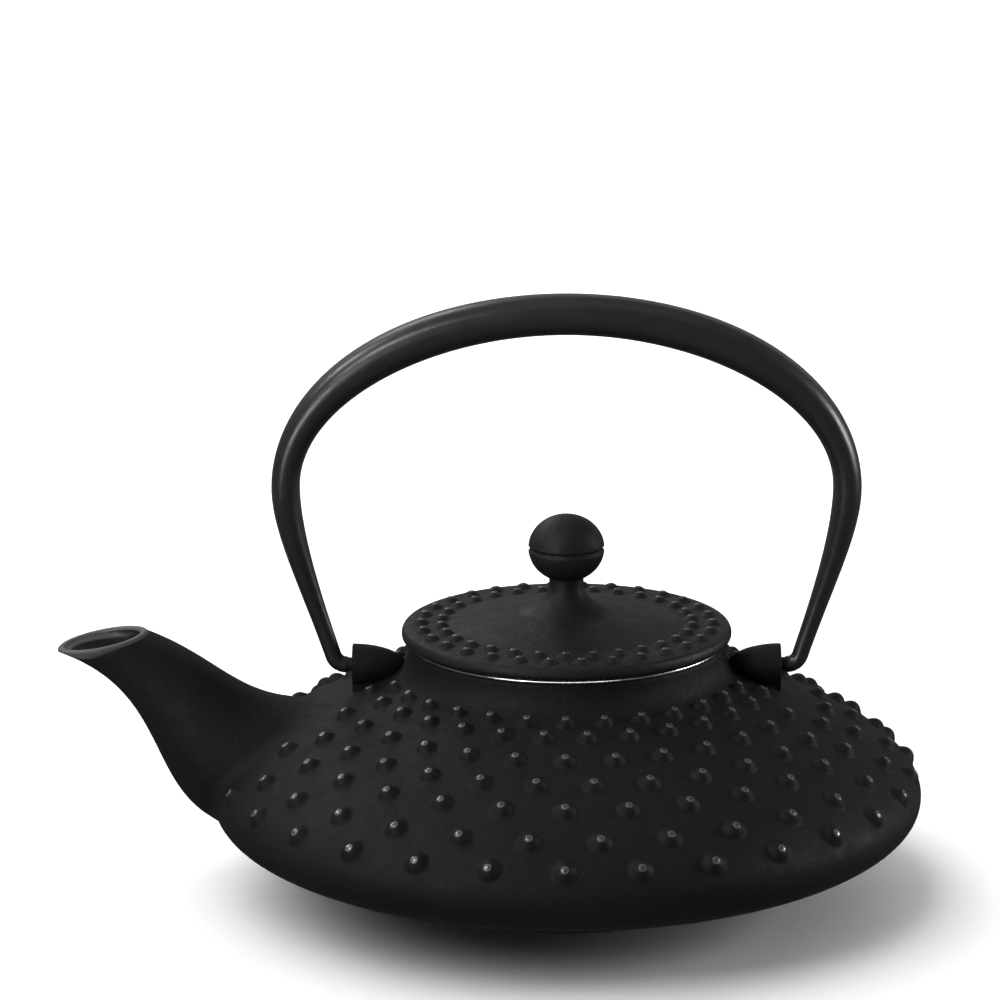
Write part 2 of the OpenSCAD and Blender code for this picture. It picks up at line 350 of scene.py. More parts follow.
BELLY_R = BODY_HIGH[0]
WIDEST_Z = 24.0
MOUTH_Z = RIM_HIGH[2] - 0.8
RIM_R = RIM_HIGH[0]
BORE_R = RING_HIGH[0] + 0.5
WALL = 3.5
FOOT_R = 42.0
FOOT_W = 4.6
COLLAR_R = BELLY_R - 44.7
COLLAR_Z = MOUTH_Z - 8
BELLY_POWER = 2.3
LIP_ROUND = 0.8
BORE_ROUND = 0.6


def belly(radius, depth, inner_r, steps=90):
    """The underside, from radius inner_r out to the widest point."""
    last = math.acos((inner_r / radius) ** (BELLY_POWER / 2))
    a = np.linspace(last, 0, steps)
    power = 2 / BELLY_POWER
    return np.stack([radius * np.cos(a) ** power, WIDEST_Z - depth * np.sin(a) ** power], 1)


SHOULDER = [(BELLY_R, WIDEST_Z), (BELLY_R, mix(WIDEST_Z, COLLAR_Z, 0.3)),
            (mix(COLLAR_R, BELLY_R, 0.515), mix(COLLAR_Z, WIDEST_Z, 0.327)), (COLLAR_R, COLLAR_Z)]
INNER_SHOULDER = [(BELLY_R - WALL, WIDEST_Z), (BELLY_R - WALL, SHOULDER[1][1] - WALL * 0.35),
                  (SHOULDER[2][0] - WALL * 0.4, SHOULDER[2][1] - WALL * 0.92),
                  (COLLAR_R - WALL * 0.4, COLLAR_Z - WALL * 0.92)]
COLLAR = [(COLLAR_R, COLLAR_Z), (mix(RIM_R, COLLAR_R, 0.4), COLLAR_Z + 1.2),
          (RIM_R, MOUTH_Z - 4.5), (RIM_R, MOUTH_Z - LIP_ROUND)]
BORE_END = MOUTH_Z - 5

foot_line = rounded([(1.0, 2.5), (FOOT_R - FOOT_W, 2.5, 0.9), (FOOT_R - FOOT_W + 0.4, 0, 0.7),
                     (FOOT_R - 0.3, 0, 0.8), (FOOT_R, 5.3, 1.6), (FOOT_R + 4.5, 6.0)], 0.8, 6)
outer_belly = belly(BELLY_R, WIDEST_Z - 4, FOOT_R + 5)
foot_line[-1] = outer_belly[0]
outer_line = joined(outer_belly, bezier(SHOULDER, np.linspace(0, 1, 120)))
rim_line = joined(bezier(COLLAR, np.linspace(0, 1, 24)),
                  arc((RIM_R - LIP_ROUND, MOUTH_Z - LIP_ROUND), LIP_ROUND, 0, 90, 6),
                  [(mix(RIM_R, BORE_R, 0.5), MOUTH_Z)],
                  arc((BORE_R + BORE_ROUND, MOUTH_Z - BORE_ROUND), BORE_ROUND, 90, 180, 5),
                  [(BORE_R, BORE_END)])

# ---------------------------------------------------------------- studs on the vessel

COLUMNS = 960
STUDS_AROUND = 30
STUD_PHASE = math.radians(-0.3)
STUD_ROW_R = (43.9, 49.0, 56.6, 64.2, 71.4, 79.4, 85.3)
STUD_SIZE = (2.5, 3.0)  # radius in the top row and in the bottom row
STUD_HEIGHT = 1.9
STUD_POWER = 1.08

OUTER = resample(outer_line, 1200)
OUTER_S = lengths(OUTER)
OUTER_N = outline_normals(OUTER)
SHOULDER_START = lengths(outer_line)[len(outer_belly) - 1]
upper = OUTER_S > SHOULDER_START + 1


def s_at(radius):
    """Distance along the outline to a radius on the shoulder."""
    return float(np.interp(-radius, -OUTER[upper][:, 0], OUTER_S[upper]))


LAST_ROW = len(STUD_ROW_R) - 1
studs = [(STUD_PHASE + 2 * math.pi * (k + 0.5 * (row % 2)) / STUDS_AROUND, s_at(radius),
          mix(*STUD_SIZE, row / LAST_ROW))
         for row, radius in enumerate(STUD_ROW_R) for k in range(STUDS_AROUND)]


def stud_shape(d, radius):
    """A low round bump with a soft foot."""
    q = np.clip(d / radius, 0, 1)
    return STUD_HEIGHT * (1 - q * q) ** STUD_POWER


def outer_at(s):
    """Radius, height and the normal's two parts at a distance along the outline."""
    return [np.interp(s, OUTER_S, v) for v in (OUTER[:, 0], OUTER[:, 1], OUTER_N[:, 0], OUTER_N[:, 1])]


# ---------------------------------------------------------------- spout

LIP_TILT = math.radians(10.7)
LIP_LEN = 22.8
TIP = np.array([BODY_LOW[0], 60.0])
HEEL = TIP + LIP_LEN * np.array([math.cos(LIP_TILT), math.sin(LIP_TILT)])
SPOUT_TOP = [(-60, WIDEST_Z + 23), (-81, WIDEST_Z + 21), (-85, TIP[1] - 2.8), tuple(HEEL)]
SPOUT_BOTTOM = [(-80, WIDEST_Z - 10), (-107.2, WIDEST_Z - 3.6), (-95.3, TIP[1] - 11.5), tuple(TIP)]
ROOT_W, LIP_W = 38.0, 20.0
SPOUT_LIP = 1.0  # half the lip's thickness
SPOUT_WALL = 3.2
SPOUT_ANGLE = math.radians(270)


def spout_point(t, around, less=0.0):
    """A point of the spout's surface. around is 0 on its back and pi on its underside."""
    t, around = np.broadcast_arrays(t, around)
    t, around = t.ravel(), around.ravel()
    up, low = bezier(SPOUT_TOP, t), bezier(SPOUT_BOTTOM, t)
    middle, half = (up + low) / 2, (up - low) / 2
    reach = half * (1 - less / np.linalg.norm(half, axis=1))[:, None]
    side = mix(ROOT_W, LIP_W, ease(np.clip(t, 0, 1))) / 2 - less
    across, over = np.cos(around), np.sin(around)
    return np.stack([middle[:, 0] + reach[:, 0] * across, -side * over,
                     middle[:, 1] + reach[:, 1] * across], 1)


def spout_gap(points):
    """How far points lie outside the spout's surface, about."""
    steps = np.linspace(-0.25, 0.6, 240)
    up, low = bezier(SPOUT_TOP, steps), bezier(SPOUT_BOTTOM, steps)
    across = up - low
    dx = points[:, None, 0] - low[None, :, 0]
    dz = points[:, None, 2] - low[None, :, 1]
    off = np.abs(dx * across[:, 1] - dz * across[:, 0]) / np.linalg.norm(across, axis=1)
    best = off.argmin(1)
    middle, half = ((up + low) / 2)[best], (across / 2)[best]
    side = mix(ROOT_W, LIP_W, ease(np.clip(steps[best], 0, 1))) / 2
    x, z = points[:, 0] - middle[:, 0], points[:, 2] - middle[:, 1]
    u = (x * half[:, 0] + z * half[:, 1]) / (half ** 2).sum(1)
    rho = np.maximum(np.hypot(u, points[:, 1] / side), 1e-6)
    return (rho - 1) / rho * np.sqrt(x * x + points[:, 1] ** 2 + z * z)


def above_vessel(points):
    """Signed distance of points from the vessel's smooth outside."""
    line, normals = OUTER[::5], OUTER_N[::5]
    rz = np.stack([np.hypot(points[:, 0], points[:, 1]), points[:, 2]], 1)
    near = ((rz[:, None] - line[None]) ** 2).sum(2).argmin(1)
    return ((rz - line[near]) * normals[near]).sum(1)


def hermite(a, ta, b, tb, q):
    """A smooth path from a to b that leaves along ta and arrives along tb."""
    return ((2 * q ** 3 - 3 * q ** 2 + 1) * a + (q ** 3 - 2 * q ** 2 + q) * ta
            + (3 * q ** 2 - 2 * q ** 3) * b + (q ** 3 - q ** 2) * tb)


def unit(v):
    """Each row at length 1."""
    return v / np.maximum(np.linalg.norm(v, axis=1), 1e-9)[:, None]


def smooth_loop(values, width):
    """Smooths values that run round a loop."""
    padded = np.concatenate([values] * 3)
    soft = np.convolve(padded, np.hanning(width) / np.hanning(width).sum(), "same")
    return soft[len(values):2 * len(values)]


# ---------------------------------------------------------------- lugs

LUG_X = 53.0
LUG_R = 5.2
LUG_NOSE = 13.2
HINGE_Z = 56.0
PIN_R = 1.75
PIN_HOLE_R = 1.82
HOLE_DEPTH = 9.0
SPOUT_CLEAR = 4.2
LUG_CLEAR_X, LUG_CLEAR_Y = 4.2, 3.2

kept = []
for a, s, size in studs:
    r, z, _, _ = outer_at(s)
    place = turned(np.array([r]), np.array([z]), np.array([a]))
    x, y = abs(place[0][0]), abs(place[0][1])
    by_lug = LUG_X - LUG_NOSE - 1 < x < LUG_X + LUG_CLEAR_X and y < LUG_R + LUG_CLEAR_Y
    if spout_gap(place)[0] > SPOUT_CLEAR and not by_lug:
        kept.append((a, s, size))
kept = np.array(kept)


def stud_lift(a, s):
    """How far the studs raise the surface."""
    lift = np.zeros_like(a)
    for place in np.unique(kept[:, 1]):
        near = np.flatnonzero(np.abs(s - place) < STUD_SIZE[1])
        row = kept[kept[:, 1] == place]
        r = outer_at(s[near])[0]
        da = np.abs(wrap(a[near, None] - row[None, :, 0])).min(1) * r
        lift[near] = np.maximum(lift[near], stud_shape(np.hypot(da, s[near] - place), row[0, 2]))
    return lift


def outer_ring(a, s):
    """Points on the outside, with the studs."""
    r, z, nr, nz = outer_at(s)
    lift = stud_lift(a, s)
    r, z = r + nr * lift, z + nz * lift
    return np.stack([r * np.sin(a), -r * np.cos(a), z], 1)


def lug(sign):
    """A bullet with a flat outer face, on a narrower web that runs down into the shoulder."""
    shell = Shell()
    around = np.linspace(0, math.pi, 25)
    rings = []
    for q in np.concatenate([[0.0, 0.35], np.linspace(1.0, 19, 20)]) / 19.2:
        reach = LUG_NOSE * math.cos(q * math.pi / 2)
        radius = LUG_R * math.sin(q * math.pi / 2)
        rings.append((LUG_X - reach, max(radius, 0.12)))
    rings += [(LUG_X - 0.35, LUG_R - 0.02), (LUG_X - 0.1, LUG_R - 0.12), (LUG_X, LUG_R - 0.4)]
    loops = []
    for x, radius in rings:
        top = [(radius * math.cos(b), HINGE_Z + radius * math.sin(b)) for b in around]
        below = np.radians(np.linspace(4, 55, 9))
        down = [(-radius * math.cos(b), HINGE_Z - radius * math.sin(b)) for b in below]
        down += [(down[-1][0], mix(down[-1][1], HINGE_Z - 9.5, k)) for k in np.linspace(0, 1, 6)[1:]]
        side = down + [(-y, z) for y, z in down[::-1]]
        loops.append([(sign * x, y, z) for y, z in top + side])
    ids = shell.stack(loops)
    shell.close(ids[0])
    shell.close(ids[-1])
    return shell.build("lug", [IRON], False)


def rod(x0, x1, radius, columns=48):
    """A round bar on the hinge line, which cuts a pin's hole."""
    shell = Shell()
    a = np.arange(columns) * 2 * np.pi / columns
    ids = shell.stack([np.stack([0 * a + x, radius * np.cos(a), HINGE_Z + radius * np.sin(a)], 1)
                       for x in (x0, x1)])
    shell.close(ids[0])
    shell.close(ids[1])
    return shell.build("rod", [IRON], False)


# ---------------------------------------------------------------- the vessel


def gap_loop(middle, span, low, high):
    """(column, row) pairs round a rectangular gap, from the middle of its top edge."""
    loop = [(middle + k, high) for k in range(span)]
    loop += [(middle + span, j) for j in range(high, low, -1)]
    loop += [(middle + k, low) for k in range(span, -span, -1)]
    loop += [(middle - span, j) for j in range(low, high)]
    loop += [(middle - k, high) for k in range(span, 0, -1)]
    return loop


def build_vessel():
    """The outside in one surface: foot, belly, studded shoulder, rim, spout and the spout's duct."""
    shell = Shell()
    columns = STUD_PHASE + np.arange(COLUMNS) * 2 * math.pi / COLUMNS
    half = columns[::2]
    fine_r = 70.0  # from this radius up, the rings are close together
    low_belly = resample(outer_belly[outer_belly[:, 0] < fine_r - 0.8], 20)
    under = joined(resample(foot_line[:2], 12), foot_line[1:], low_belly)
    ids = shell.stack([turned(r, z, half) for r, z in under])
    shell.close(ids[0])
    start = float(np.interp(fine_r, outer_belly[:, 0], lengths(outer_belly)))
    fine_s = np.concatenate([np.linspace(start, SHOULDER_START, 39)[:-1],
                             np.linspace(SHOULDER_START, OUTER_S[-1], 137)])
    rows = [shell.ring(outer_ring(columns, np.full(COLUMNS, s))) for s in fine_s]
    shell.halve(rows[0], ids[-1])

    # a rectangular gap in the rows, where the spout grows out
    middle = int(round((SPOUT_ANGLE - STUD_PHASE) / (2 * math.pi / COLUMNS)))
    span, low, high = 60, 7, int(np.argmin(np.abs(fine_s - s_at(46.5))))
    gone = set(range(middle - span, middle + span))
    for j, (a, b) in enumerate(zip(rows, rows[1:])):
        shell.band(a, b, 0, gone if low <= j < high else ())
    rim = [shell.ring(turned(r, z, columns)) for r, z in rim_line[1:]]
    for a, b in zip([rows[-1]] + rim, rim):
        shell.band(a, b)
    shell.close(rim[-1])

    # from the gap's edge over the surface to the fillet, then up the spout
    loop = gap_loop(middle, span, low, high)
    loop_a = np.array([columns[c] for c, _ in loop])
    loop_s = np.array([fine_s[j] for _, j in loop])
    centre = float(np.interp(33.0, OUTER[upper][:, 1], OUTER_S[upper]))
    around = np.unwrap(np.arctan2(wrap(loop_a - SPOUT_ANGLE) * outer_at(loop_s)[0], loop_s - centre))
    fillet = mix(2.4, 3.2, ((1 + np.cos(around)) / 2) ** 1.5)
    steps = np.linspace(0.05, 1, 150)

    def on_surface(k):
        return SPOUT_ANGLE + wrap(loop_a - SPOUT_ANGLE) * k, centre + (loop_s - centre) * k

    grid = [on_surface(k) for k in steps]
    gaps = np.stack([spout_gap(turned(*outer_at(s)[:2], a)) for a, s in grid], 1)
    first = np.argmax(gaps > fillet[:, None], axis=1)
    edge = smooth_loop(steps[first], 15)
    along = np.linspace(-0.3, 0.8, 110)
    away = above_vessel(spout_point(along[None, :], around[:, None])).reshape(len(loop), -1)
    leave = along.size - 1 - np.argmax((away < fillet[:, None])[:, ::-1], axis=1)
    start_t = smooth_loop(along[leave], 25)

    last = np.array([rows[j][c % COLUMNS] for c, j in loop])

    def go_on(points):
        nonlocal last
        ring = shell.ring(points)
        shell.band(last, ring)
        last = ring

    for q in np.linspace(0, 1, 37)[1:]:
        go_on(outer_ring(*on_surface(mix(1.0, edge, q))))
    begin = turned(*outer_at(on_surface(edge)[1])[:2], on_surface(edge)[0])
    near = turned(*outer_at(on_surface(edge * 1.01)[1])[:2], on_surface(edge * 1.01)[0])
    end, ahead = spout_point(start_t, around), spout_point(start_t + 0.01, around)
    size = np.linalg.norm(end - begin, axis=1)[:, None]
    for q in np.linspace(0, 1, 13)[1:]:
        go_on(hermite(begin, unit(begin - near) * size, end, unit(ahead - end) * size, q))
    way = np.sign(around[5])  # which way round the loop runs
    even = np.linspace(0, 2 * np.pi, len(loop), endpoint=False) * way
    for q in np.linspace(0, 1, 50)[1:]:
        go_on(spout_point(mix(start_t, 1.0, q), mix(around, even, ease(q))))
    # the lip's rounded edge, then down the duct into the vessel
    out = np.array([-math.sin(LIP_TILT), 0, math.cos(LIP_TILT)])
    for b in np.radians([150, 120, 90, 60, 30, 0]):
        rise = out * SPOUT_LIP * 0.7 * math.sin(b)
        go_on(spout_point(1.0, even, SPOUT_LIP * (1 + math.cos(b))) + rise)
    sloped = 3.0 + (1 - np.cos(even))  # the wall behind the lip, thicker on the underside
    for q in np.linspace(0, 1, 44)[1:]:
        t = 1 - 0.9 * q ** 1.6
        less = mix(2 * SPOUT_LIP, sloped, ease(min(1.0, (1 - t) / 0.11)))
        go_on(spout_point(t, even, mix(less, SPOUT_WALL, ease(max(0.0, (0.6 - t) / 0.5)))))
    for k in np.linspace(0, 1, 9)[1:]:
        go_on(spout_point(0.1, even, SPOUT_WALL) + np.array([11 * k, 0, -3 * k]))
    shell.close(last)
    return shell.build("vessel", [IRON, ENAMEL], False)


def build_cavity():
    """The space inside the vessel, from the bore down."""
    bore, top = BORE_R + 0.03, BORE_END + 0.2
    bottom, flat_r = 7.0, 20.0
    line = joined([(0.0, bottom), (flat_r, bottom)], belly(BELLY_R - WALL, WIDEST_Z - bottom, flat_r, 60),
                  bezier(INNER_SHOULDER, np.linspace(0, 1, 60)), [(bore, COLLAR_Z - 3.6), (bore, top)],
                  [(0.0, top)])
    return lathe("cavity", line, [ENAMEL, ENAMEL], 240, mark=lambda r, z: 1, finish=False)


vessel = build_vessel()
for side in (-1, 1):
    combine(vessel, lug(side), "UNION")
for side in (-1, 1):
    combine(vessel, rod(side * (LUG_X - HOLE_DEPTH), side * (LUG_X + 2), PIN_HOLE_R), "DIFFERENCE")
combine(vessel, build_cavity(), "DIFFERENCE")
tidy_mesh(vessel.data)


def mark_wear_and_highlight(obj, spots):
    """Marks the vertices near spots for the paler worn finish, partly a painted highlight. Each spot is a
    point in millimetres, a reach and a strength.
    """
    mesh = obj.data
    points = np.empty(len(mesh.vertices) * 3)
    mesh.vertices.foreach_get("co", points)
    points = points.reshape(-1, 3) / MM
    wear_and_highlight = np.zeros(len(points))
    for spot, reach, strength in spots:
        near = np.flatnonzero(np.abs(points - spot).max(1) < reach)
        q = np.linalg.norm(points[near] - spot, axis=1) / reach
        wear_and_highlight[near] = np.maximum(wear_and_highlight[near], strength * np.clip(1.3 * (1 - q * q), 0, 1))
    mesh.attributes.new(WEAR_AND_HIGHLIGHT_ATTRIBUTE, "FLOAT", "POINT").data.foreach_set("value", wear_and_highlight)


# the studs' tips, and the spout's lip all round: partly worn, partly a painted highlight where they catch
# the light
STUD_WEAR_AND_HIGHLIGHT = 0.42  # of a stud's radius
LIP_WEAR_AND_HIGHLIGHT_REACH, LIP_WEAR_AND_HIGHLIGHT_STRENGTH = 2.6, 0.6

wear_and_highlight_spots = []
for a, s, size in kept:
    r, z, nr, nz = outer_at(s)
    r, z = r + nr * STUD_HEIGHT, z + nz * STUD_HEIGHT
    wear_and_highlight_spots.append((np.array([r * math.sin(a), -r * math.cos(a), z]), STUD_WEAR_AND_HIGHLIGHT * size, 1))
for a in np.linspace(0, 2 * np.pi, 72, endpoint=False):
    wear_and_highlight_spots.append((spout_point(1.0, a, 1.6)[0], LIP_WEAR_AND_HIGHLIGHT_REACH, LIP_WEAR_AND_HIGHLIGHT_STRENGTH))
mark_wear_and_highlight(vessel, wear_and_highlight_spots)

# ---------------------------------------------------------------- handle

ARCH_R = 68.9
GRIP_T, GRIP_W = 9.9, 12.4
SIDE_T, TURN_T = 7.0, 9.5  # the bar's thickness at the sides, and where the arch turns
ARCH_Z = HINGE_Z + 45
ARCH_TOP = 144.4
ELBOW_X, ELBOW_R = LUG_X + 1.5, 3.4
LEAN = math.radians(18)
PIN_END = LUG_X - 8.6
ARCH_STEPS = 100


def build_handle():
    """The bail, one bar that swells towards the grip: a pin, an elbow, a leg and half an arch, mirrored."""
    foot = np.array([ELBOW_X + ELBOW_R * math.cos(LEAN), HINGE_Z + ELBOW_R * (1 - math.sin(LEAN))])
    leg = [foot, foot + 18 * np.array([math.sin(LEAN), math.cos(LEAN)]),
           (ARCH_R, ARCH_Z - 10.5), (ARCH_R, ARCH_Z)]
    a = np.linspace(0, math.pi / 2 - LEAN, 10)
    elbow = np.stack([ELBOW_X + ELBOW_R * np.sin(a), HINGE_Z + ELBOW_R * (1 - np.cos(a))], 1)
    b = np.linspace(0, math.pi / 2, ARCH_STEPS)
    top = np.stack([ARCH_R * np.cos(b), ARCH_Z + (ARCH_TOP - ARCH_Z) * np.sin(b)], 1)
    leg_t = np.linspace(0, 1, 50)
    pin = [(PIN_END + 0.5 + k, HINGE_Z) for k in np.linspace(0, ELBOW_X - PIN_END - 1.2, 8)]
    half = joined(pin, elbow, bezier(leg, leg_t), top)
    # how far the section has gone from the round pin to the full bar
    full = np.concatenate([np.zeros(len(pin) + len(elbow) - 1), ease(leg_t), np.ones(ARCH_STEPS - 1)])
    line = np.concatenate([half, half[-2::-1] * [-1, 1]])
    full = np.concatenate([full, full[-2::-1]])
    rise = np.sin(b) ** 2
    swell = (SIDE_T + (4 * TURN_T - 3 * SIDE_T - GRIP_T) * rise
             + 2 * (SIDE_T + GRIP_T - 2 * TURN_T) * rise ** 2)
    thick = np.concatenate([np.full(len(half) - ARCH_STEPS, SIDE_T), swell])
    thick = np.concatenate([thick, thick[-2::-1]])
    tangent = np.gradient(line, axis=0)
    tangent /= np.linalg.norm(tangent, axis=1)[:, None]
    out = np.stack([tangent[:, 1], -tangent[:, 0]], 1)
    columns = 72
    a = np.arange(columns) * 2 * np.pi / columns
    shell, rings = Shell(), []
    for k, (x, z) in enumerate(line):
        pin_part = min(k, len(line) - 1 - k) < len(pin)
        least = PIN_R if pin_part else PIN_R + 0.3
        half_t, half_w = mix(least, thick[k] / 2, full[k]), mix(least, GRIP_W / 2, full[k])
        power = 2 / mix(2, 2.4, full[k])
        u = np.sign(np.cos(a)) * np.abs(np.cos(a)) ** power * half_t
        v = np.sign(np.sin(a)) * np.abs(np.sin(a)) ** power * half_w
        rings.append(np.stack([x + out[k, 0] * u, v, z + out[k, 1] * u], 1))
    for end, sign in ((0, -1), (-1, 1)):
        centre = rings[end].mean(0)
        tip = [centre + (rings[end] - centre) * scale + np.array([sign * reach, 0, 0])
               for scale, reach in ((0.97, 0.15), (0.88, 0.33), (0.7, 0.5))]
        rings = tip[::-1] + rings if end == 0 else rings + tip
    ids = shell.stack(rings)
    shell.close(ids[0])
    shell.close(ids[-1])
    return shell.build("bail", [SATIN])


bail = build_handle()

# ---------------------------------------------------------------- lid and knob

SEAT_Z = RIM_HIGH[2]
LID_R = LID_HIGH[0]
LID_TOP = SEAT_Z + 3.6
PAD_Z = LID_TOP + 3.4
PAD_R = 10.2
SPIGOT_R = 33.0
LID_STUD_RINGS = ((36.0, 30, 0.5), (31.1, 30, 0.0))  # radius, count, and phase in pitches
LID_STUD_R, LID_STUD_H = 2.05, 1.25

LID_TURN = (29.5, LID_TOP + 0.35)  # where the flat band becomes the dome
lid_top_line = joined(
    bezier([(LID_R - 2.4, LID_TOP), (LID_R - 5, LID_TOP + 0.15), (LID_R - 9, LID_TOP + 0.2), LID_TURN],
           np.linspace(0, 1, 30)),
    bezier([LID_TURN, (28, LID_TOP + 0.5), (PAD_R + 9, PAD_Z - 0.75), (PAD_R, PAD_Z)],
           np.linspace(0, 1, 45)))
lid_line = joined(
    rounded([(0.0, PAD_Z - 3.4), (PAD_R, PAD_Z - 3.4, 2), (SPIGOT_R - 3, SEAT_Z + 0.6, 2),
             (SPIGOT_R - 3, SEAT_Z - 4, 0.5), (SPIGOT_R, SEAT_Z - 4, 0.6), (SPIGOT_R, SEAT_Z, 0.3),
             (38.4, SEAT_Z, 1), (LID_R - 0.9, SEAT_Z + 0.25, 0.5), (LID_R, SEAT_Z + 1.0, 1),
             (LID_R, LID_TOP - 1.3, 1), (LID_R - 0.6, LID_TOP - 0.25, 1.1), (LID_R - 2.4, LID_TOP)], 0.5),
    lid_top_line, [(0.0, PAD_Z)])


def lid_studs(r, z, a):
    """How far the studs raise the lid's top."""
    lift = np.zeros_like(a)
    if z < SEAT_Z + 3:
        return lift
    for ring_r, count, phase in LID_STUD_RINGS:
        if abs(r - ring_r) < LID_STUD_R:
            pitch = 2 * math.pi / count
            da = (((a - STUD_PHASE) / pitch - phase + 0.5) % 1 - 0.5) * pitch * r
            q = np.clip(np.hypot(da, r - ring_r) / LID_STUD_R, 0, 1)
            lift = np.maximum(lift, LID_STUD_H * (1 - q * q))
    return lift


# short steps where the studs are, long ones elsewhere
fine = []
for p, q in zip(lid_line, lid_line[1:]):
    step = 0.24 if p[1] > LID_TOP - 0.5 and p[0] > 27 else 1.5
    count = max(1, int(np.ceil(np.linalg.norm(q - p) / step)))
    fine += [mix(p, q, k / count) for k in range(count)]
lid_piece = lathe("lid_casting", np.array(fine + [lid_line[-1]]), [LID_IRON], 960, lid_studs)
# the lid's stud tips get the same paler finish: partly worn, partly a painted highlight
lid_spots = []
for ring_r, count, phase in LID_STUD_RINGS:
    z = float(np.interp(-ring_r, -lid_top_line[:, 0], lid_top_line[:, 1])) + LID_STUD_H
    for k in range(count):
        a = STUD_PHASE + 2 * math.pi * (k + phase) / count
        lid_spots.append((np.array([ring_r * math.sin(a), -ring_r * math.cos(a), z]), 0.5 * LID_STUD_R, 1))
mark_wear_and_highlight(lid_piece, lid_spots)

BALL_R, BALL_HALF_H = 9.4, 8.4
BALL_Z = KNOB_HIGH[2] - BALL_HALF_H
NECK_R = 4.25
KNOB_FOOT_R = 11.8
GROOVE_DEPTH = 0.55


def ball(a):
    """The ball's outline at an angle above its middle."""
    return np.stack([BALL_R * np.cos(a), BALL_Z + BALL_HALF_H * np.sin(a)], 1)


groove = math.asin(0.7 / BALL_HALF_H)
groove_r = BALL_R - GROOVE_DEPTH
knob_line = joined(
    [(0.0, PAD_Z - 0.3), (KNOB_FOOT_R, PAD_Z - 0.3)],
    bezier([(KNOB_FOOT_R, PAD_Z - 0.14), (8.8, PAD_Z + 0.5), (NECK_R + 1.2, PAD_Z + 2.8),
            (NECK_R, PAD_Z + 5.6)], np.linspace(0, 1, 24)),
    ball(np.linspace(-math.acos(NECK_R / BALL_R), -groove, 26)),
    rounded([ball(np.array([-groove]))[0], (groove_r, BALL_Z - 0.15, 0.15), (groove_r, BALL_Z + 0.15, 0.15),
             ball(np.array([groove]))[0]], 0.2, 4),
    ball(np.linspace(groove, math.pi / 2, 34)))
knob_line[-1][0] = 0.0
knob_piece = lathe("knob_casting", knob_line, [LID_IRON], 192)

# ---------------------------------------------------------------- strainer, screw and washer

TUBE_R, WIRE_R = RING_HIGH[0], WALL_HIGH[0]
SHEET = 0.8
COLLAR_END = MOUTH_Z - 7
rim_piece = lathe("strainer_collar", rounded(
    [(WIRE_R + 0.4, COLLAR_END), (TUBE_R, COLLAR_END, 0.2), (TUBE_R, MOUTH_Z, 0.1), (RIM_R, MOUTH_Z, 0.38),
     (RIM_R, SEAT_Z, 0.38), (WIRE_R, SEAT_Z, 0.8), (WIRE_R, COLLAR_END, 0.2), (WIRE_R + 0.3, COLLAR_END)],
    0.3), [STEEL], 256)
base_piece = lathe("strainer_base", rounded(
    [(WIRE_R - 5 + 0.4, RING_LOW[2]), (TUBE_R, RING_LOW[2], 0.7), (TUBE_R, RING_HIGH[2], 0.3),
     (WIRE_R, RING_HIGH[2], 0.3), (WIRE_R, RING_LOW[2] + SHEET, 0.1), (WIRE_R - 5, RING_LOW[2] + SHEET, 0.2),
     (WIRE_R - 5, RING_LOW[2], 0.2), (WIRE_R - 4.7, RING_LOW[2])], 0.3), [STEEL], 256)


def wire_loop(shell, path, radius, sides=5, closed=True):
    """A round wire along a path."""
    tangent = np.roll(path, -1, 0) - np.roll(path, 1, 0) if closed else np.gradient(path, axis=0)
    tangent = unit(tangent)
    up = np.tile([0.0, 0, 1], (len(path), 1))
    level = np.abs(tangent[:, 2]) > 0.9
    up[level] = unit(path[level] * [1, 1, 0])
    side = unit(np.cross(tangent, up))
    up = np.cross(side, tangent)
    a = np.arange(sides) * 2 * np.pi / sides
    ids = [shell.ring(p + radius * (np.cos(a)[:, None] * s + np.sin(a)[:, None] * u))
           for p, s, u in zip(path, side, up)]
    for p, q in zip(ids, ids[1:] + ids[:1] if closed else ids[1:]):
        shell.band(p, q)
    if not closed:
        shell.close(ids[0])
        shell.close(ids[-1])


def build_mesh_wall():
    """Woven wire: hoops and uprights that pass over and under each other."""
    shell = Shell()
    thin, weave, middle = 0.16, 0.15, WIRE_R - 0.35
    uprights = 176
    hoops = np.arange(WALL_LOW[2] + 0.4, WALL_HIGH[2] - 0.3, 1.15)
    around = np.arange(uprights * 2) * math.pi / uprights
    for k, z in enumerate(hoops):
        r = middle + weave * np.cos(np.arange(uprights * 2) * math.pi + k * math.pi)
        wire_loop(shell, np.stack([r * np.sin(around), -r * np.cos(around), 0 * around + z], 1), thin, 4)
    for k in range(uprights):
        a = k * 2 * math.pi / uprights
        r = middle - weave * np.cos(np.arange(len(hoops)) * math.pi)
        wire_loop(shell, np.stack([r * math.sin(a), -r * math.cos(a), hoops], 1), thin, 4, False)
    return shell.build("strainer_mesh", [WIRE])


def build_mesh_floor():
    """Two sets of wires that cross over and under each other."""
    shell = Shell()
    z = FLOOR_LOW[2] + 0.35
    thin, weave, pitch, reach = 0.15, 0.12, 1.2, WIRE_R - 0.3
    count = int(reach / pitch)
    for k in range(-count, count + 1):
        c = k * pitch
        end = math.sqrt(reach ** 2 - c ** 2)
        if end < 2:
            continue
        x = np.linspace(-end, end, max(8, int(end * 2 / pitch)))
        wave = weave * np.cos(x / pitch * math.pi + k * math.pi)
        wire_loop(shell, np.stack([x, 0 * x + c, z + wave], 1), thin, 4, False)
        wire_loop(shell, np.stack([0 * x + c, x, z - wave], 1), thin, 4, False)
    return shell.build("strainer_mesh_floor", [WIRE])


wall_piece = build_mesh_wall()
floor_piece = build_mesh_floor()

